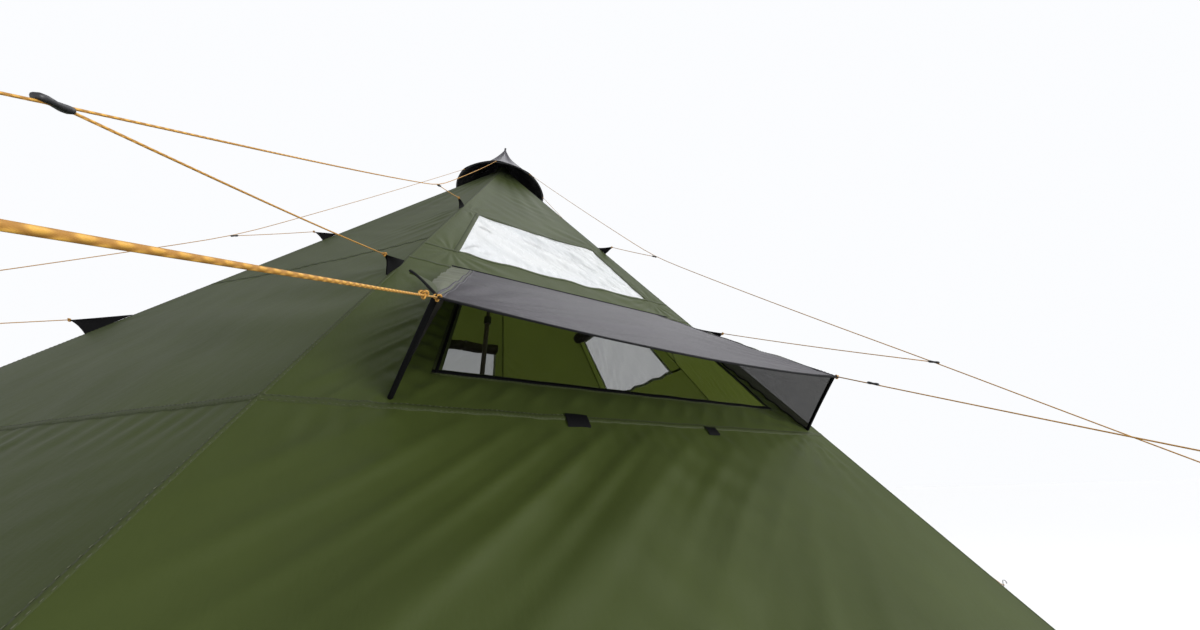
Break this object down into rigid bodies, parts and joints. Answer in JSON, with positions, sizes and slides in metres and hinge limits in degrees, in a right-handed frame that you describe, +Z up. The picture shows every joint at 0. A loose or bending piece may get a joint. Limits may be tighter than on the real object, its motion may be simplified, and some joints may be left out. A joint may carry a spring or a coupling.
{
  "type": "tent",
  "caption": "Peaked eight-sided tent on a centre pole, with awnings over mesh windows, roof windows, zipped doors, a vent cap and pegged guylines.",
  "frame": {"origin": "centre of the groundsheet's underside, at ground level under the pole", "axes": "+Z up along the pole, the front panel with its mesh window and awning faces -Y, the right door faces +X"},
  "size_m": [6.317, 7.674, 3.7441],
  "materials": {
    "fly_cloth": "coated woven polyester, olive",
    "awning_cloth": "coated woven polyester, grey",
    "window_film": "thin clear film, slightly milky and creased",
    "window_mesh": "fine black netting",
    "dark_webbing": "black woven webbing and cloth",
    "guy_rope": "braided golden cord",
    "steel": "plated steel tube and rod",
    "dark_plastic": "black moulded plastic",
    "groundsheet": "coated dark grey groundsheet"
  },
  "bodies": {
    "tent": {"awning_guyline_back_left": "guy_rope", "awning_guyline_back_right": "guy_rope", "awning_guyline_front_left": "guy_rope", "awning_guyline_front_right": "guy_rope", "awning_peg_back_left": "steel", "awning_peg_back_right": "steel", "awning_peg_front_left": "steel", "awning_peg_front_right": "steel", "crown": "dark_webbing", "fly_panel_back": "fly_cloth", "fly_panel_back_left": "fly_cloth", "fly_panel_back_right": "fly_cloth", "fly_panel_front": "fly_cloth", "fly_panel_front_left": "fly_cloth", "fly_panel_front_right": "fly_cloth", "fly_panel_left": "fly_cloth", "fly_panel_right": "fly_cloth", "groundsheet": "groundsheet", "gusset_back_left": "dark_webbing", "gusset_back_right": "dark_webbing", "gusset_front_left": "dark_webbing", "gusset_front_right": "dark_webbing", "mesh_window_back": "window_mesh", "mesh_window_front": "window_mesh", "pole_clamp": "dark_plastic", "pole_foot": "dark_plastic", "pole_lower": "steel", "ridge_guyline_1": "guy_rope", "ridge_guyline_2": "guy_rope", "ridge_guyline_3": "guy_rope", "ridge_guyline_4": "guy_rope", "ridge_guyline_5": "guy_rope", "ridge_guyline_6": "guy_rope", "ridge_guyline_7": "guy_rope", "ridge_guyline_8": "guy_rope", "ridge_peg_1": "steel", "ridge_peg_2": "steel", "ridge_peg_3": "steel", "ridge_peg_4": "steel", "ridge_peg_5": "steel", "ridge_peg_6": "steel", "ridge_peg_7": "steel", "ridge_peg_8": "steel", "roof_window_back": "window_film", "roof_window_front": "window_film", "roof_window_left": "window_film", "roof_window_right": "window_film", "vent_cap": "awning_cloth", "vent_cap_hoop": "dark_plastic", "vent_mesh": "window_mesh"},
    "front_awning": {"awning_front": "awning_cloth"},
    "back_awning": {"awning_back": "awning_cloth"},
    "right_door": {"door_right": "fly_cloth"},
    "left_door": {"door_left": "fly_cloth"},
    "right_zip_slider": {"zip_slider_right": "dark_plastic"},
    "left_zip_slider": {"zip_slider_left": "dark_plastic"},
    "upper_mast": {"pole_upper": "steel", "pole_head": "dark_plastic"}
  },
  "joints": [
    {"name": "front_awning_hinge", "type": "hinge", "parent": "tent", "child": "front_awning", "pos_m": [0, -1.39474, 1.32896], "axis": [1, 0, 0], "range_deg": [0, 17.5], "deforming": ["gusset_front_left", "awning_guyline_front_left", "gusset_front_right", "awning_guyline_front_right"]},
    {"name": "back_awning_hinge", "type": "hinge", "parent": "tent", "child": "back_awning", "pos_m": [0, 1.39474, 1.32896], "axis": [-1, 0, 0], "range_deg": [0, 17.5], "deforming": ["gusset_back_left", "awning_guyline_back_left", "gusset_back_right", "awning_guyline_back_right"]},
    {"name": "right_door_hinge", "type": "hinge", "parent": "tent", "child": "right_door", "pos_m": [2.27296, -0.56459, 0.08087], "axis": [0.5707, -0.1418, -0.8089], "range_deg": [0, 100]},
    {"name": "left_door_hinge", "type": "hinge", "parent": "tent", "child": "left_door", "pos_m": [-2.27296, 0.56459, 0.08087], "axis": [-0.5707, 0.1418, -0.8089], "range_deg": [0, 100]},
    {"name": "right_zip_slide", "type": "slide", "parent": "tent", "child": "right_zip_slider", "axis": [-0.5707, -0.1418, 0.8089], "range_m": [0, 1.3]},
    {"name": "left_zip_slide", "type": "slide", "parent": "tent", "child": "left_zip_slider", "axis": [0.5707, 0.1418, 0.8089], "range_m": [0, 1.3]},
    {"name": "mast_slide", "type": "slide", "parent": "tent", "child": "upper_mast", "axis": [0, 0, -1], "range_m": [0, 1]}
  ]
}
